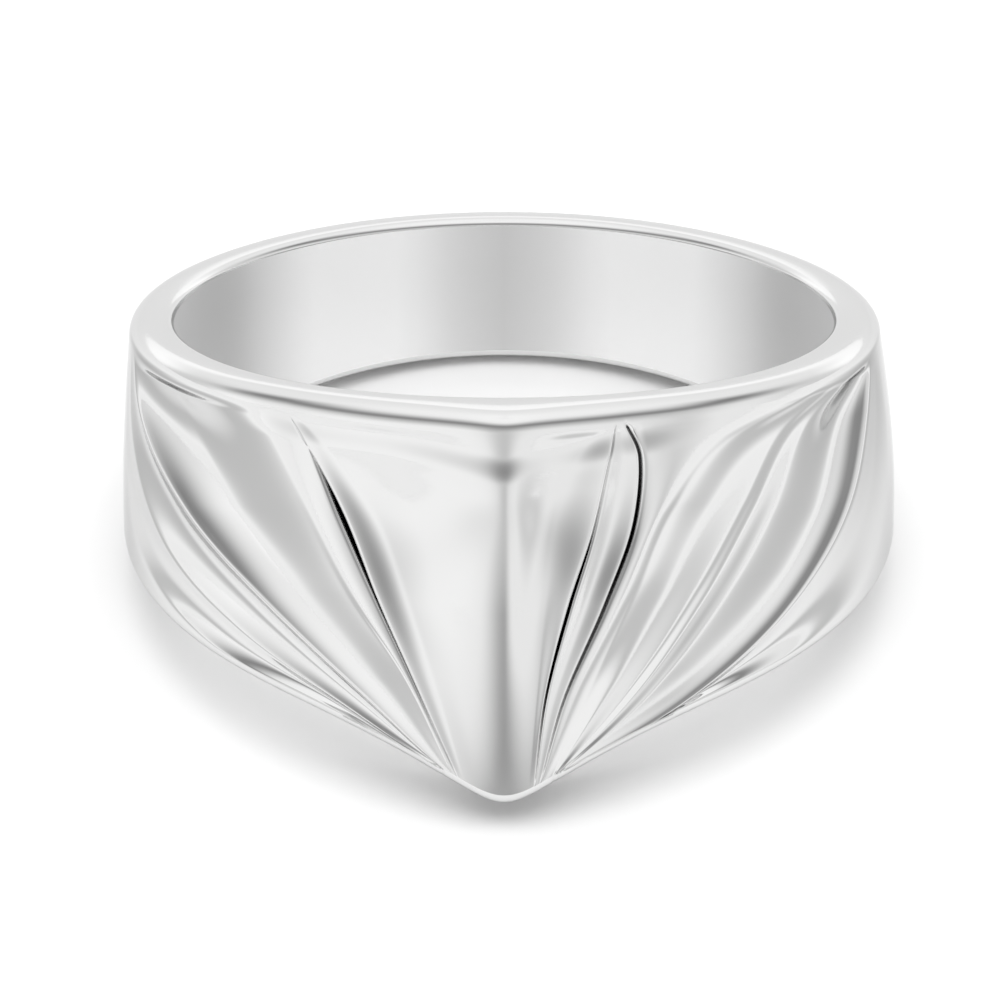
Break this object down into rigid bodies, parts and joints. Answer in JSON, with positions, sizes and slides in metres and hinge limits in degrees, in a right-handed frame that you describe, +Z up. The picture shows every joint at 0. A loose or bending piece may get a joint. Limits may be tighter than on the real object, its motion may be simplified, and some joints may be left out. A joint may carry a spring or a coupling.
{
  "type": "silver band ring",
  "caption": "Silver finger ring: a plain back widens to a deep front of fanned folds and flutes that meet at a low point.",
  "frame": {"origin": "on the surface that the ring rests on, under the middle of its box", "axes": "+Z up; -Y is the folded front with the low point; +X is the side of the leaf-shaped cut"},
  "size_m": [0.0204, 0.0226, 0.01],
  "materials": {
    "silver": "high polish"
  },
  "bodies": {
    "root": {"band": "silver"}
  },
  "joints": []
}
